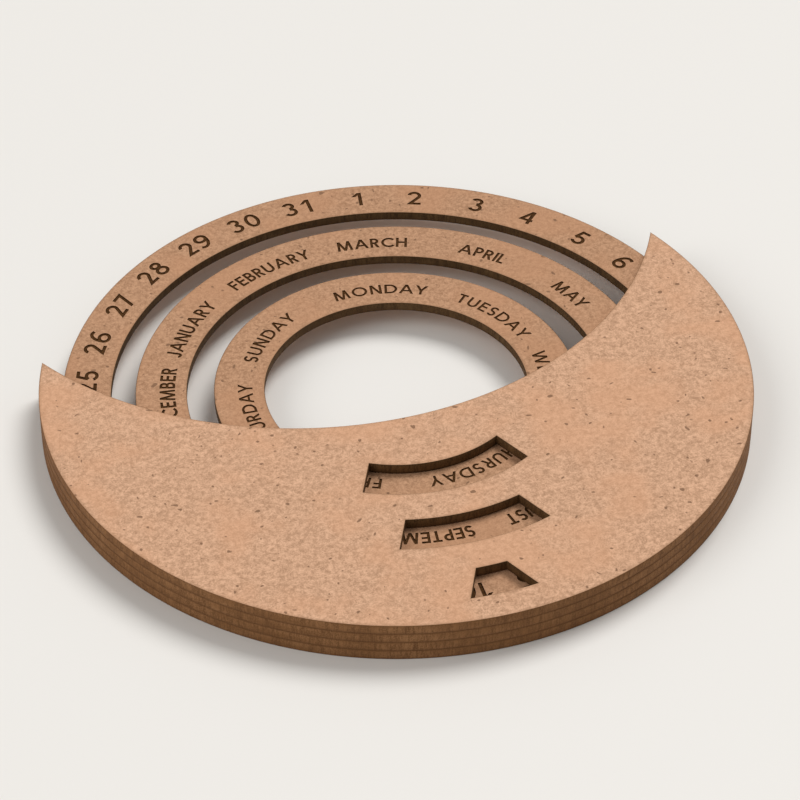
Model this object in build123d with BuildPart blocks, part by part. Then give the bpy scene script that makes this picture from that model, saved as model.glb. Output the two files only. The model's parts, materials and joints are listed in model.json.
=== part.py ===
"""Perpetual calendar in fibreboard: three lettered rings that turn in a crescent-shaped holder.

The holder is a glued stack of flat boards: a base plate, a back plate, a layer of spacers and a front
plate with three windows. The rings lie in the spacer layer, side by side on one common axis. The rim,
the two dividers and the hub guide them, and the two plates keep them in. Past the hollow edge of the
crescent the rings are open to a fingertip, which turns each one by itself.

Millimetres. The calendar lies flat: +Z is up, out of its face, and +Y runs from the rings' axis along the
middle line of the hollow to the windows' side, which is up for the lettering. The origin is the centre of
the footprint, on the underside.
"""

import math
import os

from build123d import *

# ------------------------------------------------------------------ boards, from the underside up
base_plate_thickness = 3.0
back_plate_thickness = 3.0
ring_thickness = 2.75
ring_end_play = 0.25  # air between a ring and the front plate
front_plate_thickness = 3.0

# ------------------------------------------------------------------ rings and guides, from the rim in
holder_radius = 100.0  # round edge of the holder
rim_width = 5.9
ring_side_clearance = 0.4  # air between a ring's edge and each board that guides it
date_ring_width = 13.7
outer_divider_width = 6.0  # the arc between date ring and month ring
month_ring_width = 14.4
inner_divider_width = 6.8  # the arc between month ring and weekday ring
weekday_ring_width = 14.2

# ------------------------------------------------------------------ hollow side of the crescent
hollow_radius = 104.6
hub_depth = 19.4  # how far the hub reaches in from the weekday ring, on the middle line

# ------------------------------------------------------------------ windows over the rings
window_turn = 0.8  # degrees that the windows lie clockwise of the hollow's middle line
window_flare = 25.7  # degrees between a window's side and the windows' middle
weekday_window_half_width = 18.4  # half widths are at the inner corners
weekday_window_inner_ledge = 0.3  # how far the plate covers the ring's inner edge
weekday_window_outer_ledge = 2.1
month_window_half_width = 16.1
month_window_inner_ledge = 0.6
month_window_outer_ledge = 2.4
date_window_half_width = 4.3
date_window_inner_ledge = 0.9
date_window_outer_ledge = 2.1

# ------------------------------------------------------------------ radii that follow
date_ring_outer = holder_radius - rim_width - ring_side_clearance
date_ring_inner = date_ring_outer - date_ring_width
outer_divider_outer = date_ring_inner - ring_side_clearance
outer_divider_inner = outer_divider_outer - outer_divider_width
month_ring_outer = outer_divider_inner - ring_side_clearance
month_ring_inner = month_ring_outer - month_ring_width
inner_divider_outer = month_ring_inner - ring_side_clearance
inner_divider_inner = inner_divider_outer - inner_divider_width
weekday_ring_outer = inner_divider_inner - ring_side_clearance
weekday_ring_inner = weekday_ring_outer - weekday_ring_width
hub_radius = weekday_ring_inner - ring_side_clearance
rim_inner = holder_radius - rim_width

# ------------------------------------------------------------------ heights and centres that follow
back_plate_bottom = base_plate_thickness
ring_layer_bottom = back_plate_bottom + back_plate_thickness
ring_layer_thickness = ring_thickness + ring_end_play
front_plate_bottom = ring_layer_bottom + ring_layer_thickness

# The holder reaches further to +Y than the date ring reaches to -Y, so the rings' axis lies a little
# to -Y of the middle of the footprint.
axis_y = (date_ring_outer - holder_radius) / 2
ring_axis = Plane((0, axis_y, 0))

# The hollow edge crosses the middle line at hub_depth inside the hub's round edge.
hollow_centre_y = hub_radius - hub_depth - hollow_radius


def full_ring(inner_radius, outer_radius):
    """Adds a whole ring to the sketch in work."""
    Circle(outer_radius)
    Circle(inner_radius, mode=Mode.SUBTRACT)


def cut_hollow():
    """Cuts the hollow side of the crescent from the sketch in work."""
    with Locations((0, hollow_centre_y)):
        Circle(hollow_radius, mode=Mode.SUBTRACT)


def window(ring_inner, ring_outer, inner_ledge, outer_ledge, half_width):
    """A window over one ring: two arcs about the rings' axis, and two straight flared sides."""
    inner_radius = ring_inner + inner_ledge
    outer_radius = ring_outer - outer_ledge
    corner_y = math.sqrt(inner_radius**2 - half_width**2)
    far_half_width = half_width + (outer_radius - corner_y) * math.tan(math.radians(window_flare))
    with BuildSketch() as opening:
        full_ring(inner_radius, outer_radius)
        with BuildLine():
            Polyline(
                (-half_width, corner_y),
                (half_width, corner_y),
                (far_half_width, outer_radius),
                (-far_half_width, outer_radius),
                close=True,
            )
        make_face(mode=Mode.INTERSECT)
    return opening.sketch.rotate(Axis.Z, -window_turn)


windows = [
    window(
        weekday_ring_inner,
        weekday_ring_outer,
        weekday_window_inner_ledge,
        weekday_window_outer_ledge,
        weekday_window_half_width,
    ),
    window(
        month_ring_inner,
        month_ring_outer,
        month_window_inner_ledge,
        month_window_outer_ledge,
        month_window_half_width,
    ),
    window(
        date_ring_inner,
        date_ring_outer,
        date_window_inner_ledge,
        date_window_outer_ledge,
        date_window_half_width,
    ),
]

# ------------------------------------------------------------------ the holder's plates
with BuildPart() as base_plate:
    with BuildSketch(ring_axis):
        Circle(holder_radius)
        cut_hollow()
    extrude(amount=base_plate_thickness)

with BuildPart() as back_plate:
    with BuildSketch(ring_axis.offset(back_plate_bottom)):
        Circle(holder_radius)
        cut_hollow()
    extrude(amount=back_plate_thickness)

with BuildPart() as front_plate:
    with BuildSketch(ring_axis.offset(front_plate_bottom)):
        Circle(holder_radius)
        cut_hollow()
        add(windows, mode=Mode.SUBTRACT)
    extrude(amount=front_plate_thickness)

# ------------------------------------------------------------------ the spacers that guide the rings
with BuildPart() as rim_spacer:
    with BuildSketch(ring_axis.offset(ring_layer_bottom)):
        full_ring(rim_inner, holder_radius)
        cut_hollow()
    extrude(amount=ring_layer_thickness)

with BuildPart() as outer_divider:
    with BuildSketch(ring_axis.offset(ring_layer_bottom)):
        full_ring(outer_divider_inner, outer_divider_outer)
        cut_hollow()
    extrude(amount=ring_layer_thickness)

with BuildPart() as inner_divider:
    with BuildSketch(ring_axis.offset(ring_layer_bottom)):
        full_ring(inner_divider_inner, inner_divider_outer)
        cut_hollow()
    extrude(amount=ring_layer_thickness)

with BuildPart() as hub_spacer:
    with BuildSketch(ring_axis.offset(ring_layer_bottom)):
        Circle(hub_radius)
        cut_hollow()
    extrude(amount=ring_layer_thickness)

# ------------------------------------------------------------------ the rings, lying on the back plate
with BuildPart() as date_ring:
    with BuildSketch(ring_axis.offset(ring_layer_bottom)):
        full_ring(date_ring_inner, date_ring_outer)
    extrude(amount=ring_thickness)

with BuildPart() as month_ring:
    with BuildSketch(ring_axis.offset(ring_layer_bottom)):
        full_ring(month_ring_inner, month_ring_outer)
    extrude(amount=ring_thickness)

with BuildPart() as weekday_ring:
    with BuildSketch(ring_axis.offset(ring_layer_bottom)):
        full_ring(weekday_ring_inner, weekday_ring_outer)
    extrude(amount=ring_thickness)

# ------------------------------------------------------------------ files, one for each piece
base_plate.part.label = "base_plate"
back_plate.part.label = "back_plate"
front_plate.part.label = "front_plate"
rim_spacer.part.label = "rim_spacer"
outer_divider.part.label = "outer_divider"
inner_divider.part.label = "inner_divider"
hub_spacer.part.label = "hub_spacer"
date_ring.part.label = "date_ring"
month_ring.part.label = "month_ring"
weekday_ring.part.label = "weekday_ring"

os.makedirs("parts", exist_ok=True)
export_step(base_plate.part, "parts/base_plate.step")
export_step(back_plate.part, "parts/back_plate.step")
export_step(front_plate.part, "parts/front_plate.step")
export_step(rim_spacer.part, "parts/rim_spacer.step")
export_step(outer_divider.part, "parts/outer_divider.step")
export_step(inner_divider.part, "parts/inner_divider.step")
export_step(hub_spacer.part, "parts/hub_spacer.step")
export_step(date_ring.part, "parts/date_ring.step")
export_step(month_ring.part, "parts/month_ring.step")
export_step(weekday_ring.part, "parts/weekday_ring.step")
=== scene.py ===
"""Finish of the perpetual calendar: laser-cut fibreboard, and three rings with engraved lettering.

Metres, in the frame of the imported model. The calendar lies flat: +Z is up, out of its face, and +Y runs
from the rings' axis along the middle line of the hollow to the windows' side. Each piece takes its radii and
its heights from the node that it stands for.
"""

import json
import math
from itertools import pairwise

import bmesh
import bpy
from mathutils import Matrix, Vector, kdtree
from mathutils.geometry import delaunay_2d_cdt


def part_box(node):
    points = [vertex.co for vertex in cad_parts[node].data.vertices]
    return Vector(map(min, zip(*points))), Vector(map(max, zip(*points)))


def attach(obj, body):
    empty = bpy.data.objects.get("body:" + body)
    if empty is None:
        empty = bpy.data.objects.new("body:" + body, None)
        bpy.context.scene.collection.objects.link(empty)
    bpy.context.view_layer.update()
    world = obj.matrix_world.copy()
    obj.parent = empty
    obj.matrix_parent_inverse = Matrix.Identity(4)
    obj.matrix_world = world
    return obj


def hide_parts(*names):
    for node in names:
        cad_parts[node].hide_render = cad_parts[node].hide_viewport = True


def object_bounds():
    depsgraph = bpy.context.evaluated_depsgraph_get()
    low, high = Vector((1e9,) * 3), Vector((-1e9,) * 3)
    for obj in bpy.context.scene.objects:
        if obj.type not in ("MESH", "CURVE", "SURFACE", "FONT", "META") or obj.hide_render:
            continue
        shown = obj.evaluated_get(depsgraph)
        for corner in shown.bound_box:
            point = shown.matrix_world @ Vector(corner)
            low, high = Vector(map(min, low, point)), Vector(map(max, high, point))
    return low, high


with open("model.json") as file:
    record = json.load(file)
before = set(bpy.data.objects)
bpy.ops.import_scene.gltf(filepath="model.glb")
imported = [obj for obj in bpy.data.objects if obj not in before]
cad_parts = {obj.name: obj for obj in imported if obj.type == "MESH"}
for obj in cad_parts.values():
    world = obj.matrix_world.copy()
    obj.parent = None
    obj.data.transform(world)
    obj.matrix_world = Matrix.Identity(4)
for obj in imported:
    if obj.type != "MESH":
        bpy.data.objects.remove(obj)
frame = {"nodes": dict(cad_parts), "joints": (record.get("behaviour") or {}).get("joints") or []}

cad_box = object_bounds()

MM = 0.001
TOUCHING = 1e-6  # metres: places nearer than this are one
LARGER = 1000  # outlines are triangulated this much larger, where rounding does no harm
SAME_POINT = 1e-4  # in those larger units
SAME_SIGN_POINT = 1e-2  # the same for signs, which are drawn one cap height tall

# ------------------------------------------------------------------ places taken from the frame
AXIS = Vector(frame["joints"][0]["pos_m"][:2])  # the rings' common axis, seen from above
CENTRE = (cad_box[0] + cad_box[1]) / 2

# ------------------------------------------------------------------ openings of the holder
HOLLOW_RADIUS = 104.6 * MM
WINDOW_TURN = math.radians(0.8)  # how far the windows lie clockwise of the hollow's middle line
WINDOW_FLARE = math.radians(25.7)  # between a window's side and the windows' middle
# For each ring: half width at the inner corners, ledge over the inner edge, ledge over the outer edge.
WINDOWS = {
    "weekday_ring": (18.4 * MM, 0.3 * MM, 2.1 * MM),
    "month_ring": (16.1 * MM, 0.6 * MM, 2.4 * MM),
    "date_ring": (4.3 * MM, 0.9 * MM, 2.1 * MM),
}

# ------------------------------------------------------------------ laser-cut edges
ARC_STEP = 0.9 * MM  # longest straight piece of a round edge
EDGE_ROUND = 0.12 * MM
SMOKE_WIDTH = 1.1 * MM  # how far the smoke of the cut stains the face
SMOKE_SPARE = 0.93  # share of that width which a point past the smoke keeps from every edge
KERF_LEAN = 0.05 * MM  # a laser-cut wall leans in by this much towards the underside
BLUNTEST_MITRE = 0.25  # keeps the mitre of a sharp corner from reaching too far
SHARP_EDGE = math.radians(30)  # faces that meet at more than this aren't shaded as one
# Where a board has its materials: its face is 0, its own cut edge 1, and its windows or its lettering 2.
CUT_EDGE, INNER_CUT = 1, 2

# ------------------------------------------------------------------ lettering
DATES = [str(day) for day in range(1, 32)]
MONTHS = [
    "JANUARY", "FEBRUARY", "MARCH", "APRIL", "MAY", "JUNE",
    "JULY", "AUGUST", "SEPTEMBER", "OCTOBER", "NOVEMBER", "DECEMBER",
]
WEEKDAYS = ["SUNDAY", "MONDAY", "TUESDAY", "WEDNESDAY", "THURSDAY", "FRIDAY", "SATURDAY"]
# For each ring: its words, their cap height and stroke, how much the letters are widened, the gap between
# letters in cap heights, the baseline's radius, the angle of the first word, how far the engraving lies off
# the ring's centre, and the degrees by which single words are set on clockwise.
LETTERING = {
    "date_ring": dict(
        words=DATES, cap=6.2 * MM, stroke=1.0 * MM, widen=1.08, gap=0.18,
        baseline=83.7 * MM, first=math.radians(-101.0), slip=(0.3 * MM, -0.5 * MM),
        nudges={
            "1": 0.3, "2": 0.1, "3": 1.0, "4": 0.1, "5": 0.7, "15": 0.2, "16": -0.6,
            "26": -0.2, "28": -0.1, "31": -0.2,
        },
    ),
    "month_ring": dict(
        words=MONTHS, cap=4.4 * MM, stroke=0.78 * MM, widen=1.0, gap=0.10,
        baseline=62.2 * MM, first=math.radians(-42.0), slip=(-0.4 * MM, -1.0 * MM),
        nudges={
            "JANUARY": -0.9, "FEBRUARY": 1.1, "MARCH": 0.3,
            "MAY": -1.4, "AUGUST": -0.8, "SEPTEMBER": 1.1,
        },
    ),
    "weekday_ring": dict(
        words=WEEKDAYS, cap=4.12 * MM, stroke=0.70 * MM, widen=1.07, gap=0.16,
        baseline=40.4 * MM, first=math.radians(-50.0), slip=(-0.3 * MM, -1.0 * MM),
        nudges={
            "SUNDAY": -2.0, "MONDAY": 1.0, "TUESDAY": -1.0,
            "WEDNESDAY": 0.8, "FRIDAY": 1.2, "SATURDAY": -1.8,
        },
    ),
}
KERNING = {"DA": 0.08, "AY": 0.11, "RY": 0.05}  # cap heights by which these pairs stand closer
ENGRAVING_DEPTH = 0.3 * MM
ENGRAVING_LEAN = 0.06 * MM  # how far an engraved wall leans in at its foot
SIGN_ARC_STEP = math.radians(7)  # longest straight piece of a round stroke
SHORTEST_SIGN_SIDE = 0.012  # cap heights: shorter sides of a sign's outline are left out


# ================================================================== outlines
def node_radii(node):
    """Inner and outer radius of a node about the rings' axis."""
    far = [(vertex.co.xy - AXIS).length for vertex in frame["nodes"][node].data.vertices]
    return min(far), max(far)


def arc(centre, radius, start, end):
    """Points of an arc, from its start angle to its end angle."""
    count = max(2, math.ceil(abs(end - start) * radius / ARC_STEP))
    angles = [start + (end - start) * i / count for i in range(count + 1)]
    return [centre + radius * Vector((math.cos(a), math.sin(a))) for a in angles]


def closed(*arcs):
    """One closed outline of arcs that run one after the other, with no point twice."""
    points = [point for each in arcs for point in each]
    return [here for before, here in zip(points[-1:] + points, points) if (here - before).length > TOUCHING]


HOLDER_RADIUS = node_radii("front_plate")[1]
HORN_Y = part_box("front_plate")[0].y - AXIS.y  # the tips of the crescent's horns reach furthest to -Y
HORN_X = math.sqrt(HOLDER_RADIUS**2 - HORN_Y**2)
HOLLOW_CENTRE_Y = HORN_Y - math.sqrt(HOLLOW_RADIUS**2 - HORN_X**2)


def hollow_angles(radius):
    """The angles at which a circle about the axis and the hollow edge meet, on the +X side."""
    y = (radius**2 + HOLLOW_CENTRE_Y**2 - HOLLOW_RADIUS**2) / (2 * HOLLOW_CENTRE_Y)
    x = math.sqrt(radius**2 - y**2)
    return math.atan2(y, x), math.atan2(y - HOLLOW_CENTRE_Y, x)


def hollow_arc(start, end):
    """A stretch of the hollow edge."""
    return arc(AXIS + Vector((0, HOLLOW_CENTRE_Y)), HOLLOW_RADIUS, start, end)


def disc_crescent(radius):
    """A disc less the hollow side, anticlockwise."""
    own, hollow = hollow_angles(radius)
    return closed(arc(AXIS, radius, own, math.pi - own), hollow_arc(math.pi - hollow, hollow))


def arc_crescent(inner, outer):
    """A ring less the hollow side, anticlockwise."""
    own_in, hollow_in = hollow_angles(inner)
    own_out, hollow_out = hollow_angles(outer)
    return closed(
        arc(AXIS, outer, own_out, math.pi - own_out),
        hollow_arc(math.pi - hollow_out, math.pi - hollow_in),
        arc(AXIS, inner, math.pi - own_in, own_in),
        hollow_arc(hollow_in, hollow_out),
    )


def window_outline(ring, half_width, inner_ledge, outer_ledge):
    """A window over one ring, clockwise: two arcs about the axis and two straight flared sides."""
    inner, outer = node_radii(ring)
    inner += inner_ledge
    outer -= outer_ledge
    corner = Vector((half_width, math.sqrt(inner**2 - half_width**2)))
    side = Vector((math.sin(WINDOW_FLARE), math.cos(WINDOW_FLARE)))
    along = corner.dot(side)
    far_corner = corner + side * (math.sqrt(along**2 + outer**2 - inner**2) - along)
    left, right = math.pi - WINDOW_TURN, -WINDOW_TURN
    near, far = math.atan2(corner.y, corner.x), math.atan2(far_corner.y, far_corner.x)
    return closed(arc(AXIS, outer, left - far, right + far), arc(AXIS, inner, right + near, left - near))


# ================================================================== boards
def area(points):
    """Signed area of a closed outline, positive when it runs anticlockwise."""
    turned = zip(points, points[1:] + points[:1])
    return sum(a[0] * b[1] - a[1] * b[0] for a, b in turned) / 2


def inward(points):
    """For each point of a closed outline, the mitred way into the board, which lies on its left."""
    ways = []
    for before, here, after in zip(points[-1:] + points[:-1], points, points[1:] + points[:1]):
        first, second = (here - before).normalized(), (after - here).normalized()
        left = Vector((-first.y - second.y, first.x + second.x))
        ways.append(left / max(BLUNTEST_MITRE, 1 + first.dot(second)))
    return ways


def fill(outlines, inside=()):
    """The outlines' points and those inside, and upward triangles between them by the even-odd rule."""
    points, faces = [], []
    for outline in outlines:
        corners = list(range(len(points), len(points) + len(outline)))
        faces.append(corners if area(outline) > 0 else corners[::-1])
        points += outline
    points += inside
    large = [Vector(p) * LARGER for p in points]
    _, _, triangles, origins, _, owners = delaunay_2d_cdt(large, [], faces, 1, SAME_POINT, True)
    kept = [corners for corners, own in zip(triangles, owners) if len(own) % 2]
    return points, [[origins[corner][0] for corner in corners] for corners in kept]


def beyond_smoke(outlines):
    """Points that lie as far inside the outlines as the smoke reaches."""
    edge = kdtree.KDTree(sum(map(len, outlines)))
    for index, point in enumerate(p for outline in outlines for p in outline):
        edge.insert((*point, 0), index)
    edge.balance()
    moved = [p + way * SMOKE_WIDTH for outline in outlines for p, way in zip(outline, inward(outline))]
    return [p for p in moved if edge.find((*p, 0))[2] > SMOKE_SPARE * SMOKE_WIDTH]


def edge_profile(bottom, top):
    """(inset, height) from the underside, out round its edge, up the wall and in to the top face."""
    halfway = EDGE_ROUND * (1 - math.sqrt(0.5))
    return [
        (EDGE_ROUND + KERF_LEAN, bottom),
        (halfway + KERF_LEAN, bottom + halfway),
        (KERF_LEAN, bottom + EDGE_ROUND),
        (0, top - EDGE_ROUND),
        (halfway, top - halfway),
        (EDGE_ROUND, top),
    ]


def add_wall(mesh, points, profile, material):
    """Adds the wall along one outline and gives back its lowest and its highest row of points."""
    cut = mesh.loops.layers.uv["cut"]
    smoke = mesh.verts.layers.float["smoke"]
    heights = [height for _, height in profile]
    rows = [[p + way * inset for p, way in zip(points, inward(points))] for inset, _ in profile]
    along = [0.0]
    for a, b in zip(points, points[1:] + points[:1]):
        along.append(along[-1] + (b - a).length)
    verts = [[mesh.verts.new((*p, height)) for p in row] for row, height in zip(rows, heights)]
    for (low, low_z), (high, high_z) in pairwise(zip(verts, heights)):
        for i in range(len(points)):
            j = (i + 1) % len(points)
            face = mesh.faces.new((low[i], low[j], high[j], high[i]))
            face.material_index = material
            face.smooth = True
            places = ((i, low_z), (i + 1, low_z), (i + 1, high_z), (i, high_z))
            for corner, (step, height) in zip(face.loops, places):
                corner[cut].uv = (along[step], height - heights[0])
    for vertex in sum(verts, []):
        vertex[smoke] = 1
    return rows[0], rows[-1]


def add_pits(mesh, pits):
    """Adds a mesh of engraved pits."""
    others = len(mesh.faces)
    mesh.from_mesh(pits)
    mesh.faces.ensure_lookup_table()
    for face in mesh.faces[others:]:
        face.material_index = INNER_CUT


def add_face(mesh, rims, mouths, height, corners):
    """Adds a flat face between its rims, less the mouths of pits. corners is the order in each triangle."""
    smoke = mesh.verts.layers.float["smoke"]
    points, triangles = fill(rims + mouths, beyond_smoke(rims))
    verts = [mesh.verts.new((*p, height)) for p in points]
    for vertex in verts[: sum(map(len, rims))]:
        vertex[smoke] = 1
    for triangle in triangles:
        mesh.faces.new([verts[triangle[c]] for c in corners])


def board_mesh(name, outlines, walls, bottom, top, pits=None):
    """A flat board with softened edges. Its outlines run with the board on their left.

    The mesh has a UV map "cut" on its walls, in metres along the edge and up from the underside, and an
    attribute "smoke", 1 at the cut edges and 0 further in. walls gives the material of each outline's wall.
    pits is a mesh of engraved pits, open at the top face, which is cut out for them.
    """
    mesh = bmesh.new()
    mesh.loops.layers.uv.new("cut")
    mesh.verts.layers.float.new("smoke")
    profile = edge_profile(bottom, top)
    edges = [add_wall(mesh, points, profile, wall) for points, wall in zip(outlines, walls)]
    mouths = []
    if pits is not None:
        mouths = open_outlines(pits, top)
        add_pits(mesh, pits)
    add_face(mesh, [low for low, _ in edges], [], bottom, corners=(0, 2, 1))
    add_face(mesh, [high for _, high in edges], mouths, top, corners=(0, 1, 2))
    bmesh.ops.remove_doubles(mesh, verts=mesh.verts, dist=2 * TOUCHING)
    loose = [vertex for vertex in mesh.verts if not vertex.link_faces]
    bmesh.ops.delete(mesh, geom=loose, context="VERTS")
    bmesh.ops.recalc_face_normals(mesh, faces=mesh.faces)
    data = bpy.data.meshes.new(name)
    mesh.to_mesh(data)
    mesh.free()
    data.set_sharp_from_angle(angle=SHARP_EDGE)
    return data


def open_outlines(pits, height):
    """The closed outlines at that height where a mesh of pits is open."""
    mesh = bmesh.new()
    mesh.from_mesh(pits)
    rims = [
        edge
        for edge in mesh.edges
        if edge.is_boundary and all(abs(vertex.co.z - height) < TOUCHING for vertex in edge.verts)
    ]
    beside = {}
    for edge in rims:
        for a, b in (edge.verts, reversed(edge.verts)):
            beside.setdefault(a.index, []).append(b)
    places = {vertex.index: vertex.co.copy() for edge in rims for vertex in edge.verts}
    outlines = []
    while beside:
        start = next(iter(beside))
        walk, here = [], start
        while here in beside:
            walk.append(places[here].xy)
            here = next((vertex.index for vertex in beside.pop(here) if vertex.index in beside), None)
        outlines.append(walk)
    mesh.free()
    return outlines


# ================================================================== signs, one cap height tall
def bar(x0, y0, x1, y1):
    """An upright or level stroke between two opposite corners."""
    return [(x0, y0), (x1, y0), (x1, y1), (x0, y1)]


def slant(x0, y0, x1, y1, weight):
    """A straight stroke between two points, cut level at both ends."""
    half = weight / 2 * math.hypot(x1 - x0, y1 - y0) / abs(y1 - y0)
    return [(x0 - half, y0), (x0 + half, y0), (x1 + half, y1), (x1 - half, y1)]


def bow(x, y, rx, ry, start, end, weight):
    """A round stroke about x, y, with rx and ry to its outside, from start to end in degrees."""
    count = math.ceil(math.radians(end - start) / SIGN_ARC_STEP)
    turns = [math.radians(start + (end - start) * i / count) for i in range(count + 1)]
    outer = [(x + rx * math.cos(a), y + ry * math.sin(a)) for a in turns]
    rx, ry = rx - weight, ry - weight
    inner = [(x + rx * math.cos(a), y + ry * math.sin(a)) for a in reversed(turns)]
    return outer + inner


def oval(x, y, rx, ry, weight):
    """A closed round stroke, as its two halves."""
    return [bow(x, y, rx, ry, 0, 180, weight), bow(x, y, rx, ry, 180, 360, weight)]


def leg(x, y, radius, turn, weight):
    """A straight stroke that runs on from a round stroke about x, y, at turn degrees, to the baseline."""
    turn = math.radians(turn)
    lean = -math.tan(turn)
    ends = [(x + reach * math.cos(turn), y + reach * math.sin(turn)) for reach in (radius, radius - weight)]
    return ends + [(x - y * lean, 0) for x, y in reversed(ends)]


def signs(t):
    """Plain geometric capitals and digits of stroke t: {sign: (width, its strokes as polygons)}."""
    top = 1 - t
    over = 0.012  # round signs reach this far past the baseline and the cap line
    lean = t * 0.56  # half the level width of a leaning stroke
    mid = 0.52  # height of the middle bar

    def bowl(width, low, high):
        """The round right side of B, P and R, from a bar at low to a bar at high."""
        ry = (high - low) / 2
        straight = width - ry
        return [
            bar(0, high - t, straight, high),
            bar(0, low, straight, low + t),
            bow(straight, (low + high) / 2, ry, ry, -90, 90, t),
        ]

    stem = bar(0, 0, t, 1)
    half = (1 + t) / 4 + over / 2  # radius of each half of an S
    made = {
        "A": (0.96, [
            slant(lean, 0, 0.48, 1, t), slant(0.96 - lean, 0, 0.48, 1, t),
            bar(0.22, 0.25, 0.74, 0.25 + t * 0.9),
        ]),
        "B": (0.60, [stem, *bowl(0.55, mid - t / 2, 1), *bowl(0.60, 0, mid + t / 2)]),
        "C": (0.86, [bow(0.5 + over, 0.5, 0.5 + over, 0.5 + over, 43, 317, t)]),
        "D": (0.84, [
            stem, bar(0, top, 0.34, 1), bar(0, 0, 0.34, t), bow(0.34, 0.5, 0.5, 0.5, -90, 90, t),
        ]),
        "E": (0.55, [
            stem, bar(0, top, 0.55, 1), bar(0, mid - t / 2, 0.52, mid + t / 2), bar(0, 0, 0.55, t),
        ]),
        "F": (0.53, [stem, bar(0, top, 0.53, 1), bar(0, mid - t / 2, 0.50, mid + t / 2)]),
        "G": (0.94, [
            bow(0.48, 0.5, 0.48, 0.5 + over, 40, 360, t), bar(0.52, 0.5 - t, 0.92, 0.5),
        ]),
        "H": (0.74, [stem, bar(0.74 - t, 0, 0.74, 1), bar(0, mid - t / 2, 0.74, mid + t / 2)]),
        "I": (t, [stem]),
        "J": (0.44, [bar(0.44 - t, 0.24, 0.44, 1), bow(0.20, 0.24, 0.24, 0.24 + over, 190, 360, t)]),
        "L": (0.46, [stem, bar(0, 0, 0.46, t)]),
        "M": (1.06, [
            slant(lean, 0, 0.20, 1, t), slant(1.06 - lean, 0, 0.86, 1, t),
            slant(0.20, 1, 0.53, 0, t), slant(0.86, 1, 0.53, 0, t),
        ]),
        "N": (0.76, [stem, bar(0.76 - t, 0, 0.76, 1), slant(lean, 1, 0.76 - lean, 0, t)]),
        "O": (1.0 + 2 * over, oval(0.5 + over, 0.5, 0.5 + over, 0.5 + over, t)),
        "P": (0.58, [stem, *bowl(0.58, mid - t / 2 - 0.06, 1)]),
        "R": (0.62, [
            stem, *bowl(0.57, mid - t / 2 - 0.04, 1), slant(0.62 - lean, 0, 0.30, mid - 0.04, t),
        ]),
        "S": (0.56, [
            bow(0.28, 1 - half + over, 0.28, half, 28, 270, t),
            bow(0.28, half - over, 0.28, half, -152, 90, t),
        ]),
        "T": (0.58, [bar(0, top, 0.58, 1), bar(0.29 - t / 2, 0, 0.29 + t / 2, 1)]),
        "U": (0.72, [
            bar(0, 0.36, t, 1), bar(0.72 - t, 0.36, 0.72, 1),
            bow(0.36, 0.36, 0.36, 0.36 + over, 180, 360, t),
        ]),
        "V": (0.86, [slant(lean, 1, 0.43, 0, t), slant(0.86 - lean, 1, 0.43, 0, t)]),
        "W": (1.32, [
            slant(lean, 1, 0.36, 0, t), slant(0.36, 0, 0.66, 1, t),
            slant(0.66, 1, 0.96, 0, t), slant(0.96, 0, 1.32 - lean, 1, t),
        ]),
        "Y": (0.82, [
            slant(lean, 1, 0.41, 0.42, t), slant(0.82 - lean, 1, 0.41, 0.42, t),
            bar(0.41 - t / 2, 0, 0.41 + t / 2, 0.45),
        ]),
        "0": (0.66, oval(0.33, 0.5, 0.33, 0.5 + over, t)),
        "1": (0.48, [bar(0.48 - t, 0, 0.48, 1), slant(0.11, 0.70, 0.48 - t * 0.62, 1, t * 0.85)]),
        "2": (0.64, [
            bow(0.32, 0.69 + over, 0.31, 0.31, -35, 172, t), leg(0.32, 0.69 + over, 0.31, -35, t),
            bar(0.12, 0, 0.64, t),
        ]),
        "3": (0.62, [
            bow(0.30, 0.73 + over, 0.28, 0.27, -90, 158, t),
            bow(0.30, 0.30 - over, 0.31, 0.30, -160, 90, t),
        ]),
        "4": (0.68, [
            bar(0.44, 0, 0.44 + t, 1), bar(0.12, 0.22, 0.68, 0.22 + t * 0.95),
            slant(0.01 + lean, 0.22, 0.44 + t * 0.44, 1, t),
        ]),
        "5": (0.62, [
            bar(0.14, top, 0.57, 1), slant(0.09, 0.46, 0.14 + lean, 1, t),
            bow(0.30, 0.31 - over, 0.32, 0.32, -155, 150, t),
        ]),
        "6": (0.65, [
            *oval(0.325, 0.31 - over, 0.325, 0.31, t), bow(0.44, 0.34, 0.44, 0.67, 62, 182, t),
        ]),
        "7": (0.60, [bar(0, top, 0.50, 1), slant(0.14, 0, 0.60 - t * 0.53, 1, t)]),
        "8": (0.65, [
            *oval(0.325, 0.75 + over, 0.27, 0.26, t), *oval(0.325, 0.30 - over, 0.325, 0.31, t),
        ]),
    }
    width, strokes = made["6"]
    made["9"] = (width, [[(width - x, 1 - y) for x, y in stroke] for stroke in strokes])
    return made


def outlines_of(strokes):
    """The outlines of overlapping strokes as one shape, each with the shape on its left."""
    points, faces = [], []
    for stroke in strokes:
        ordered = stroke if area(stroke) > 0 else stroke[::-1]
        faces.append(range(len(points), len(points) + len(ordered)))
        points += [Vector(p) * LARGER for p in ordered]
    found, _, triangles, _, _, owners = delaunay_2d_cdt(points, [], faces, 1, SAME_SIGN_POINT, True)
    sides = {
        (a, b)
        for corners, own in zip(triangles, owners)
        if own
        for a, b in zip(corners, (*corners[1:], corners[0]))
    }
    following = {a: b for a, b in sides if (b, a) not in sides}
    outlines = []
    while following:
        walk = [min(following)]
        while walk[-1] in following:
            walk.append(following.pop(walk[-1]))
        outlines.append(without_short_sides([found[i] / LARGER for i in walk[:-1]]))
    return outlines


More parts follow.
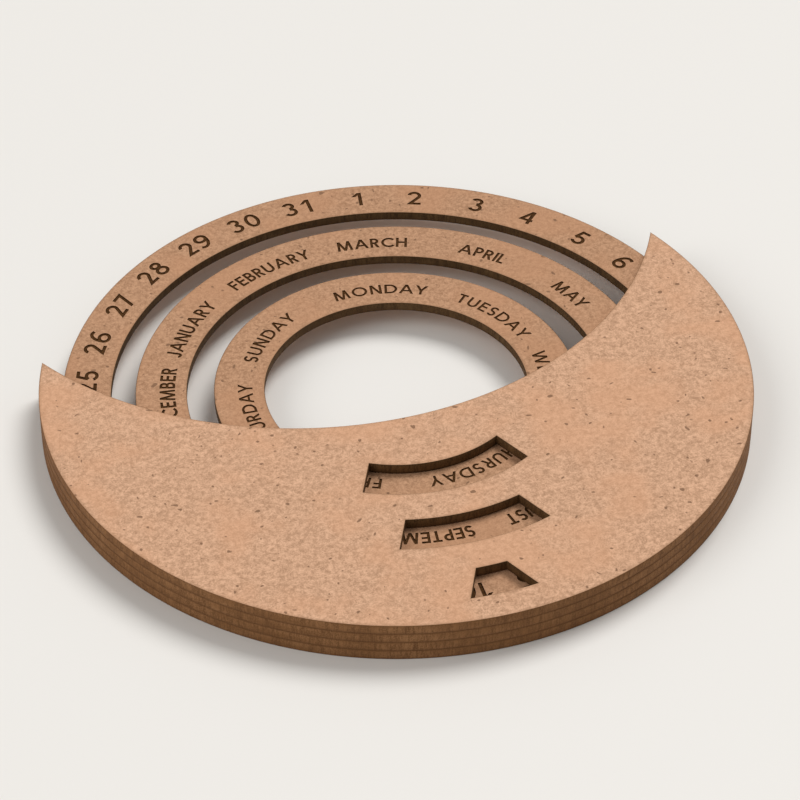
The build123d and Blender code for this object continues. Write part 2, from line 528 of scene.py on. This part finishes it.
def without_short_sides(points):
    """The outline of a sign without the points that lie too near the one before."""
    kept = []
    for point in points:
        if not kept or (point - kept[-1]).length > SHORTEST_SIGN_SIDE:
            kept.append(point)
    if (kept[0] - kept[-1]).length < SHORTEST_SIGN_SIDE:
        kept.pop()
    return kept


def flat_lettering(name, words, cap, stroke, widen, gap, baseline, nudges, **_):
    """All the words of one ring as flat shapes, laid out along its baseline.

    x runs clockwise along the baseline from the middle of the first word. Each point also holds the x of
    its own letter's middle, and the way into its stroke.
    """
    alphabet = {
        sign: (width * widen, outlines_of([[(x * widen, y) for x, y in stroke] for stroke in strokes]))
        for sign, (width, strokes) in signs(stroke / cap).items()
    }
    pitch = math.tau * baseline / len(words)
    places, faces, middles, ways = [], [], [], []
    for index, word in enumerate(words):
        gaps = [gap - KERNING.get(pair, 0) for pair in map("".join, pairwise(word))] + [0]
        length = sum(alphabet[sign][0] for sign in word) + sum(gaps)
        left = index * pitch + math.radians(nudges.get(word, 0)) * baseline - length * cap / 2
        for sign, space in zip(word, gaps):
            width, outlines = alphabet[sign]
            points, triangles = fill(outlines)
            faces += [[len(places) + corner for corner in triangle] for triangle in triangles]
            places += [(left + p.x * cap, p.y * cap, 0) for p in points]
            middles += [left + width * cap / 2] * len(points)
            ways += [(way.x, way.y, 0) for outline in outlines for way in inward(outline)]
            left += (width + space) * cap
    data = bpy.data.meshes.new(name)
    data.from_pydata(places, [], faces)
    data.attributes.new("letter_middle", "FLOAT", "POINT").data.foreach_set("value", middles)
    data.attributes.new("inward", "FLOAT_VECTOR", "POINT").data.foreach_set("vector", sum(ways, ()))
    return data


# ================================================================== node trees
class Graph:
    """A short way to write a node tree."""

    def __init__(self, tree):
        self.tree = tree

    def node(self, kind, inputs=(), **settings):
        """Adds a node. Its inputs come in order or by name, each a socket to link or a value to set."""
        made = self.tree.nodes.new(kind)
        for name, value in settings.items():
            setattr(made, name, value)
        for key, value in inputs.items() if isinstance(inputs, dict) else enumerate(inputs):
            if isinstance(value, bpy.types.NodeSocket):
                self.link(value, made.inputs[key])
            elif value is not None:
                made.inputs[key].default_value = value
        return made

    def link(self, output, target):
        """Links an output to the input that it feeds."""
        self.tree.links.new(output, target)

    def math(self, operation, *values):
        """A number worked out of others."""
        return self.node("ShaderNodeMath", values, operation=operation).outputs[0]

    def vector(self, operation, *values):
        """A vector worked out of others."""
        return self.node("ShaderNodeVectorMath", values, operation=operation).outputs["Vector"]

    def noise(self, vector, scale, detail, roughness=0.5):
        """Smooth noise from 0 to 1."""
        inputs = {"Vector": vector, "Scale": scale, "Detail": detail, "Roughness": roughness}
        return self.node("ShaderNodeTexNoise", inputs).outputs["Fac"]

    def steps(self, value, low, high, to_low=0.0, to_high=1.0):
        """value from low to high becomes to_low to to_high, with soft ends."""
        inputs = [value, low, high, to_low, to_high]
        return self.node("ShaderNodeMapRange", inputs, interpolation_type="SMOOTHSTEP").outputs[0]

    def mix(self, factor, first, second):
        """The first colour at factor 0 and the second at factor 1."""
        inputs = {0: factor, 6: first, 7: second}  # by place, because colours share their names with numbers
        return self.node("ShaderNodeMix", inputs, data_type="RGBA").outputs[2]


def new_group(name, kind, inputs, outputs):
    """A node group with its sockets: {name: (socket type, default)} and {name: socket type}."""
    tree = bpy.data.node_groups.new(name, kind)
    for label, (socket, default) in inputs.items():
        made = tree.interface.new_socket(label, in_out="INPUT", socket_type=socket)
        if default is not None:
            made.default_value = default
    for label, socket in outputs.items():
        tree.interface.new_socket(label, in_out="OUTPUT", socket_type=socket)
    graph = Graph(tree)
    return graph, graph.node("NodeGroupInput").outputs, graph.node("NodeGroupOutput").inputs


def lettering_tree():
    """Sinks flat lettering into pits and sets each letter square to its ring, at its place round it."""
    number = "NodeSocketFloat"
    graph, given, result = new_group(
        "lettering_round_a_ring",
        "GeometryNodeTree",
        {
            "Flat Lettering": ("NodeSocketGeometry", None),
            "Axis": ("NodeSocketVector", (0, 0, 0)),
            "Face Height": (number, 0.0),
            "Baseline Radius": (number, 0.1),
            "First Angle": (number, 0.0),
            "Depth": (number, ENGRAVING_DEPTH),
            "Wall Lean": (number, 0.0),
            "Finish": ("NodeSocketMaterial", None),
        },
        {"Pits": "NodeSocketGeometry"},
    )

    def attribute(name, kind):
        """The value that flat_lettering gives each point under that name."""
        return graph.node("GeometryNodeInputNamedAttribute", {"Name": name}, data_type=kind).outputs[0]

    down = graph.node("ShaderNodeCombineXYZ", [0.0, 0.0, graph.math("MULTIPLY", given["Depth"], -1.0)])
    sunk = graph.node(
        "GeometryNodeExtrudeMesh",
        {
            "Mesh": given["Flat Lettering"],
            "Offset": down.outputs[0],
            "Offset Scale": 1.0,
            "Individual": False,
        },
        mode="FACES",
    )
    into_stroke = attribute("inward", "FLOAT_VECTOR")
    lean = graph.vector("SCALE", into_stroke, None, None, given["Wall Lean"])  # the fourth is the scale
    pits = graph.node(
        "GeometryNodeSetPosition",
        {"Geometry": sunk.outputs["Mesh"], "Selection": sunk.outputs["Top"], "Offset": lean},
    )
    middle = attribute("letter_middle", "FLOAT")
    place = graph.node("ShaderNodeSeparateXYZ", [graph.node("GeometryNodeInputPosition").outputs[0]])
    upright = graph.node(
        "ShaderNodeCombineXYZ",
        [
            graph.math("SUBTRACT", place.outputs[0], middle),
            graph.math("ADD", place.outputs[1], given["Baseline Radius"]),
            graph.math("ADD", place.outputs[2], given["Face Height"]),
        ],
    )
    clockwise = graph.math("DIVIDE", middle, given["Baseline Radius"])
    outward = graph.math("SUBTRACT", given["First Angle"], clockwise)
    turned = graph.node(
        "ShaderNodeVectorRotate",
        {"Vector": upright.outputs[0], "Angle": graph.math("SUBTRACT", outward, math.pi / 2)},
        rotation_type="Z_AXIS",
    )
    bent = graph.node(
        "GeometryNodeSetPosition",
        {"Geometry": pits.outputs[0], "Position": graph.vector("ADD", turned.outputs[0], given["Axis"])},
    )
    real = graph.node("GeometryNodeRealizeInstances", [bent.outputs[0]])
    finished = graph.node(
        "GeometryNodeSetMaterial", {"Geometry": real.outputs[0], "Material": given["Finish"]}
    )
    graph.link(finished.outputs[0], result["Pits"])
    return graph.tree


def grown(name, data, tree, values):
    """The plain mesh that a tree makes of some geometry, with its inputs by name."""
    piece = bpy.data.objects.new(name, data)
    bpy.context.scene.collection.objects.link(piece)
    modifier = piece.modifiers.new(tree.name, "NODES")
    modifier.node_group = tree
    for socket in tree.interface.items_tree:
        if socket.in_out == "INPUT" and socket.name in values:
            modifier[socket.identifier] = values[socket.name]
    evaluated = piece.evaluated_get(bpy.context.evaluated_depsgraph_get())
    made = bpy.data.meshes.new_from_object(evaluated)
    bpy.data.objects.remove(piece)
    return made


# ================================================================== finishes
def fibreboard_group():
    """Raw fibreboard: felted fibres, a fine grain, soft clouds and a few dark flecks."""
    colour, number = "NodeSocketColor", "NodeSocketFloat"
    graph, given, result = new_group(
        "raw_fibreboard",
        "ShaderNodeTree",
        {
            "Vector": ("NodeSocketVector", None),
            "Dark Fibre": (colour, (0.5, 0.3, 0.2, 1)),
            "Pale Fibre": (colour, (0.6, 0.4, 0.3, 1)),
            "Cloud": (colour, (0.6, 0.4, 0.2, 1)),
            "Fleck": (colour, (0.2, 0.1, 0.05, 1)),
            "Cloud Strength": (number, 0.3),
        },
        {"Color": colour, "Height": number},
    )
    here = graph.vector("MULTIPLY", given["Vector"], (1 / MM,) * 3)  # in millimetres from here on
    wander = graph.node("ShaderNodeTexNoise", {"Vector": here, "Scale": 0.25, "Detail": 1.0})
    bent = graph.vector("MULTIPLY_ADD", wander.outputs["Color"], (4.0, 4.0, 0.0), here)
    # Four layers of fibres, each drawn out along its own way.
    layers = []
    for turn in (0.2, 1.0, 1.8, 2.6):
        turned = graph.node(
            "ShaderNodeVectorRotate", {"Vector": bent, "Angle": turn}, rotation_type="Z_AXIS"
        ).outputs[0]
        drawn_out = graph.vector("MULTIPLY", turned, (0.30, 2.3, 1.0))
        layers.append(graph.noise(drawn_out, 1.0, 2.0))
    first_pair, second_pair = graph.math("ADD", *layers[:2]), graph.math("ADD", *layers[2:])
    fibres = graph.steps(graph.math("ADD", first_pair, second_pair), 1.62, 2.38)
    # Grain, mottle and clouds are finer, coarser and much coarser than the fibres.
    grain = graph.noise(here, 2.1, 3.0, 0.65)
    mottle = graph.noise(here, 0.8, 2.0)
    tone = graph.math("MULTIPLY_ADD", fibres, 0.3, graph.math("MULTIPLY_ADD", grain, 0.8, -0.30))
    tone = graph.math("ADD", tone, graph.math("MULTIPLY_ADD", mottle, 0.9, -0.2))
    felted = graph.mix(graph.steps(tone, 0.08, 0.92), given["Dark Fibre"], given["Pale Fibre"])
    cloud = graph.steps(graph.noise(here, 0.05, 3.0), 0.42, 0.66)
    clouded = graph.mix(graph.math("MULTIPLY", cloud, given["Cloud Strength"]), felted, given["Cloud"])
    # A fleck is the ragged middle of a cell, where chance has given that cell one.
    cells = graph.node("ShaderNodeTexVoronoi", {"Vector": bent, "Scale": 0.45})
    chance = graph.node("ShaderNodeSeparateColor", [cells.outputs["Color"]]).outputs[0]
    clean_share = 0.62  # share of the cells that hold no fleck
    reach = graph.steps(chance, clean_share, 1.0, 0.02, 0.25)
    inside = graph.math("SUBTRACT", reach, cells.outputs["Distance"])
    speck = graph.steps(graph.math("MULTIPLY_ADD", grain, 0.30, inside), 0.12, 0.20)
    speck = graph.math("MULTIPLY", speck, graph.math("GREATER_THAN", chance, clean_share))
    flecks = graph.math("MULTIPLY", speck, 0.85)
    graph.link(graph.mix(flecks, clouded, given["Fleck"]), result["Color"])
    height = graph.math("MULTIPLY_ADD", fibres, 0.6, graph.math("MULTIPLY", grain, 0.4))
    graph.link(graph.math("SUBTRACT", height, flecks), result["Height"])
    return graph.tree


def charred_group():
    """A laser-cut wall: fine scorched and burnt streaks from face to face, and darker along both faces."""
    colour, number = "NodeSocketColor", "NodeSocketFloat"
    graph, given, result = new_group(
        "laser_cut_wall",
        "ShaderNodeTree",
        {
            "Vector": ("NodeSocketVector", None),
            "Burnt": (colour, (0.03, 0.02, 0.01, 1)),
            "Scorched": (colour, (0.15, 0.08, 0.04, 1)),
            "Tan": (colour, (0.3, 0.2, 0.1, 1)),
            "Streaks Per Millimetre": (number, 1.6),
            "Board Thickness": (number, 3 * MM),
            "Seed": (number, 0.0),
        },
        {"Color": colour, "Height": number},
    )
    here = graph.vector("MULTIPLY", given["Vector"], (1 / MM,) * 3)  # in millimetres from here on
    parts = graph.node("ShaderNodeSeparateXYZ", [here])
    along, up = parts.outputs[0], parts.outputs[1]
    wander = graph.noise(graph.vector("MULTIPLY", here, (0.4, 0.8, 1.0)), 1.0, 1.0)
    bent = graph.math("MULTIPLY_ADD", wander, 0.6, along)
    packed = graph.math("MULTIPLY", bent, given["Streaks Per Millimetre"])
    drawn_out = graph.math("MULTIPLY", up, 0.22)
    streaked = graph.node("ShaderNodeCombineXYZ", [packed, drawn_out, given["Seed"]]).outputs[0]
    broad = graph.noise(streaked, 0.3, 2.0)
    streak = graph.noise(streaked, 1.4, 2.0, 0.7)
    grain = graph.noise(here, 2.4, 2.0)
    mask = graph.math("MULTIPLY_ADD", streak, 0.38, graph.math("MULTIPLY", grain, 0.37))
    mask = graph.math("MULTIPLY_ADD", broad, 0.25, mask)
    wall = graph.mix(graph.steps(mask, 0.34, 0.62), given["Burnt"], given["Scorched"])
    patch = graph.noise(graph.vector("MULTIPLY", here, (0.05, 0.25, 1.0)), 1.0, 2.0)
    paler = graph.math("MULTIPLY", graph.steps(patch, 0.35, 0.70), graph.steps(mask, 0.40, 0.62))
    wall = graph.mix(graph.math("MULTIPLY", paler, 0.7), wall, given["Tan"])
    from_top = graph.math("SUBTRACT", graph.math("DIVIDE", given["Board Thickness"], MM), up)
    scorch = graph.math("MAXIMUM", graph.steps(up, 0.8, 0.0), graph.steps(from_top, 0.5, 0.0))
    wall = graph.mix(graph.math("MULTIPLY", scorch, 0.6), wall, given["Burnt"])
    graph.link(wall, result["Color"])
    graph.link(mask, result["Height"])
    return graph.tree


def new_material(name, roughness, specular):
    """A material with its graph and its shader, whose uniform values are set on its own sockets."""
    material = bpy.data.materials.new(name)
    material.use_nodes = True
    shader = material.node_tree.nodes["Principled BSDF"]
    shader.inputs["Roughness"].default_value = roughness
    shader.inputs["Specular IOR Level"].default_value = specular
    return material, Graph(material.node_tree), shader


def bump(graph, shader, height, distance):
    """Roughens a material by a height that changes over its surface."""
    made = graph.node("ShaderNodeBump", {"Height": height, "Distance": distance, "Strength": 1.0})
    graph.link(made.outputs[0], shader.inputs["Normal"])


def board_finish(name, tones, origin):
    """The face of one board. origin moves the pattern, because no two boards share one."""
    material, graph, shader = new_material(name, roughness=0.86, specular=0.25)
    place = graph.node("ShaderNodeTexCoord").outputs["Object"]
    place = graph.node("ShaderNodeMapping", {"Vector": place, "Location": origin}).outputs[0]
    board = graph.node("ShaderNodeGroup", {"Vector": place, **tones}, node_tree=raw_fibreboard)
    stain = graph.node("ShaderNodeAttribute", attribute_name="smoke").outputs["Fac"]
    stain = graph.math("MULTIPLY", graph.math("POWER", stain, 2.0), 0.45)
    graph.link(graph.mix(stain, board.outputs["Color"], SMOKED), shader.inputs["Base Color"])
    bump(graph, shader, board.outputs["Height"], distance=0.05 * MM)
    return material


def cut_finish(name, tones, thickness, seed):
    """The walls of a laser-cut board. No two boards share a seed."""
    material, graph, shader = new_material(name, roughness=0.75, specular=0.15)
    place = graph.node("ShaderNodeUVMap", uv_map="cut").outputs[0]
    inputs = {"Vector": place, **tones, "Board Thickness": thickness, "Seed": seed}
    wall = graph.node("ShaderNodeGroup", inputs, node_tree=laser_cut_wall)
    graph.link(wall.outputs["Color"], shader.inputs["Base Color"])
    bump(graph, shader, wall.outputs["Height"], distance=0.08 * MM)
    return material


def engraved_finish():
    """The burnt pits of the lettering, with the lines that the laser drew one beside the other."""
    material, graph, shader = new_material("engraved_brown", roughness=0.85, specular=0.1)
    place = graph.node("ShaderNodeTexCoord").outputs["Object"]
    lines = graph.noise(graph.vector("MULTIPLY", place, (900.0, 7000.0, 900.0)), 1.0, 2.0)
    burn = graph.noise(graph.vector("MULTIPLY", place, (1 / MM,) * 3), 1.3, 3.0)
    tone = graph.math("MULTIPLY_ADD", lines, 0.5, graph.math("MULTIPLY", burn, 0.5))
    tone = graph.steps(tone, 0.35, 0.65)
    graph.link(graph.mix(tone, ENGRAVED_DARK, ENGRAVED_PALE), shader.inputs["Base Color"])
    bump(graph, shader, lines, distance=0.04 * MM)
    return material


FLECK = (0.20, 0.105, 0.055, 1)
SMOKED = (0.30, 0.16, 0.080, 1)
ENGRAVED_DARK = (0.034, 0.013, 0.003, 1)
ENGRAVED_PALE = (0.100, 0.042, 0.010, 1)
HOLDER_FACE = {
    "Dark Fibre": (0.40, 0.223, 0.128, 1),
    "Pale Fibre": (0.72, 0.430, 0.270, 1),
    "Cloud": (0.63, 0.332, 0.186, 1),
    "Fleck": FLECK,
    "Cloud Strength": 0.5,
}
# Tones of the rings' face, darker all over than the holder's face.
RING_FACE = {
    "Dark Fibre": (0.32, 0.168, 0.088, 1),
    "Pale Fibre": (0.55, 0.309, 0.178, 1),
    "Cloud": (0.485, 0.247, 0.131, 1),
    "Fleck": FLECK,
    "Cloud Strength": 0.5,
}
HOLDER_CUT = {
    "Burnt": (0.145, 0.064, 0.024, 1),
    "Scorched": (0.250, 0.115, 0.043, 1),
    "Tan": (0.360, 0.182, 0.080, 1),
    "Streaks Per Millimetre": 1.6,
}
# Darker tones for the walls of the front plate's windows: painted shade, as the window walls lie in shade.
WINDOW_CUT_PAINTED_SHADE = {
    "Burnt": (0.060, 0.029, 0.010, 1),
    "Scorched": (0.120, 0.060, 0.021, 1),
    "Tan": (0.190, 0.102, 0.040, 1),
    "Streaks Per Millimetre": 1.7,
}
# Tones of the rings' cut walls: charred brown, made darker than the holder's walls as painted shade of the
# gaps and the hole.
RING_CUT_PAINTED_SHADE = {
    "Burnt": (0.053, 0.026, 0.010, 1),
    "Scorched": (0.104, 0.054, 0.020, 1),
    "Tan": (0.160, 0.090, 0.037, 1),
    "Streaks Per Millimetre": 1.7,
}
# From one board to the next, the face's pattern moves on by a step in metres, and the walls' seed grows.
HOLDER_PATTERN_STEP = (0.31, 0.17, 0.05)
RING_PATTERN_STEP = (0.23, 0.37, 0.11)
SEED_STEP = 3.7
WINDOW_SEED = 31.0
RING_SEED = 40

raw_fibreboard = fibreboard_group()
laser_cut_wall = charred_group()
engraved_brown = engraved_finish()
lettering_round_a_ring = lettering_tree()


# ================================================================== the ten pieces
def finish_piece(name, data, body, finishes):
    """Puts a mesh in the scene as the dressed piece of one node."""
    for material in finishes:
        data.materials.append(material)
    piece = bpy.data.objects.new("dressed_" + name, data)
    bpy.context.scene.collection.objects.link(piece)
    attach(piece, body)
    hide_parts(name)


def node_heights(node):
    """Heights of a node's underside and of its top."""
    low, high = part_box(node)
    return low.z, high.z


def pattern_origin(step, number):
    """Where the pattern of the board with that number starts."""
    return tuple(each * number for each in step)


def holder_outlines():
    """Each holder board with its outlines."""
    spacers = ("rim_spacer", "outer_divider", "inner_divider")
    windows = [window_outline(ring, *sizes) for ring, sizes in WINDOWS.items()]
    return {
        "base_plate": [disc_crescent(HOLDER_RADIUS)],
        "back_plate": [disc_crescent(HOLDER_RADIUS)],
        "front_plate": [disc_crescent(HOLDER_RADIUS), *windows],
        "hub_spacer": [disc_crescent(node_radii("hub_spacer")[1])],
        **{name: [arc_crescent(*node_radii(name))] for name in spacers},
    }


def make_holder():
    """The holder's boards, whose window walls get darker tones than their outer walls: painted shade."""
    for number, (name, outlines) in enumerate(holder_outlines().items()):
        bottom, top = node_heights(name)
        finishes = [
            board_finish(name + "_face", HOLDER_FACE, pattern_origin(HOLDER_PATTERN_STEP, number)),
            cut_finish(name + "_cut", HOLDER_CUT, top - bottom, SEED_STEP * number),
        ]
        windows = len(outlines) - 1
        if windows:
            # The window walls' darker tones are painted shade.
            finishes.append(cut_finish(name + "_windows", WINDOW_CUT_PAINTED_SHADE, top - bottom, WINDOW_SEED))
        data = board_mesh(name, outlines, [CUT_EDGE] + [INNER_CUT] * windows, bottom, top)
        slot = "holder_board" if "plate" in name else "spacer_board"
        finish_piece(name, data, "holder", finishes)


def make_ring(name, body, number):
    """One ring, with its lettering sunk into its top face."""
    inner, outer = node_radii(name)
    bottom, top = node_heights(name)
    text = LETTERING[name]
    pits = grown(
        name + "_lettering",
        flat_lettering(name + "_lettering", **text),
        lettering_round_a_ring,
        {
            "Axis": (*AXIS + Vector(text["slip"]), 0.0),
            "Face Height": top,
            "Baseline Radius": text["baseline"],
            "First Angle": text["first"],
            "Depth": ENGRAVING_DEPTH,
            "Wall Lean": ENGRAVING_LEAN,
            "Finish": engraved_brown,
        },
    )
    outlines = [closed(arc(AXIS, outer, 0, math.tau)), closed(arc(AXIS, inner, math.tau, 0))]
    data = board_mesh(name, outlines, [CUT_EDGE, CUT_EDGE], bottom, top, pits)
    finishes = [
        board_finish(name + "_face", RING_FACE, pattern_origin(RING_PATTERN_STEP, number)),
        # the ring walls' darker tones are partly painted shade
        cut_finish(name + "_cut", RING_CUT_PAINTED_SHADE, top - bottom, RING_SEED + SEED_STEP * number),
        engraved_brown,
    ]
    finish_piece(name, data, body, finishes)


RINGS = {"date_ring": "date_dial", "month_ring": "month_dial", "weekday_ring": "weekday_dial"}

make_holder()
for number, (name, body) in enumerate(RINGS.items(), start=1):
    make_ring(name, body, number)


# ================================================================== floor, light and camera
CAMERA_PLACE = Vector((0.2394, 0.6971, 0.6362))
FRAME_SHARE = 0.89  # how much of the picture's width the calendar fills
ROOM_LIGHT = 0.36
BACKDROP = (0.83, 0.81, 0.775, 1)
FLOOR_COLOUR = (0.78, 0.755, 0.715, 1)
FLOOR_REACH = 4.0
FLOOR_DROP = 0.05 * MM  # keeps the floor clear of the base plate's underside


def plain_floor():
    """A wide, pale floor under the calendar."""
    material, _, shader = new_material("pale_floor", roughness=0.6, specular=0.3)
    shader.inputs["Base Color"].default_value = FLOOR_COLOUR
    data = bpy.data.meshes.new("floor")
    quarters = ((-1, -1), (1, -1), (1, 1), (-1, 1))
    corners = [(x * FLOOR_REACH, y * FLOOR_REACH, -FLOOR_DROP) for x, y in quarters]
    data.from_pydata(corners, [], [(0, 1, 2, 3)])
    data.materials.append(material)
    floor = bpy.data.objects.new("floor", data)
    bpy.context.scene.collection.objects.link(floor)


def aim(thing, place, target):
    """Sets a light or a camera at a place, looking at its target."""
    thing.location = place
    thing.rotation_mode = "QUATERNION"
    thing.rotation_quaternion = (target - place).to_track_quat("-Z", "Y")


def seen_from_camera(right, away, up):
    """A place given as seen from the camera, level with the floor: right, away from it and up."""
    ahead = (CENTRE - CAMERA_PLACE).xy.normalized()
    across = Vector((ahead.y, -ahead.x))
    return Vector((*(across * right + ahead * away), up))


def soft_light(name, place, width, strength):
    """A light as wide as that angle, from the side on which a place lies, as bright far away as near."""
    data = bpy.data.lights.new(name, "SUN")
    data.angle = width
    data.energy = strength
    light = bpy.data.objects.new(name, data)
    bpy.context.scene.collection.objects.link(light)
    aim(light, place, CENTRE)


def studio():
    """Two soft lights, the dim light of a room, and past the floor a pale wall that only the camera sees."""
    key_place = seen_from_camera(right=0.45, away=0.60, up=1.0)
    fill_place = seen_from_camera(right=-0.9, away=-0.4, up=0.8)
    soft_light("key", key_place, width=math.radians(31), strength=2.14)
    soft_light("fill", fill_place, width=math.radians(43), strength=0.99)
    world = bpy.data.worlds.new("studio")
    world.use_nodes = True
    graph = Graph(world.node_tree)
    shed = world.node_tree.nodes["Background"]
    shed.inputs["Color"].default_value = (1, 1, 1, 1)
    shed.inputs["Strength"].default_value = ROOM_LIGHT
    wall = graph.node("ShaderNodeBackground", {"Color": BACKDROP})
    seen = graph.node("ShaderNodeLightPath").outputs["Is Camera Ray"]
    room = graph.node("ShaderNodeMixShader", [seen, shed.outputs[0], wall.outputs[0]])
    graph.link(room.outputs[0], world.node_tree.nodes["World Output"].inputs["Surface"])
    bpy.context.scene.world = world
    bpy.context.scene.view_settings.view_transform = "Standard"


def camera():
    """The camera, with a lens that lets the calendar fill its share of the picture."""
    data = bpy.data.cameras.new("camera")
    reach = (CAMERA_PLACE - CENTRE).length
    data.lens = data.sensor_width * FRAME_SHARE * reach / (2 * HOLDER_RADIUS)
    data.clip_start, data.clip_end = 0.01, 20
    made = bpy.data.objects.new("camera", data)
    bpy.context.scene.collection.objects.link(made)
    aim(made, CAMERA_PLACE, CENTRE)
    bpy.context.scene.camera = made


plain_floor()
studio()
camera()

bpy.context.view_layer.update()
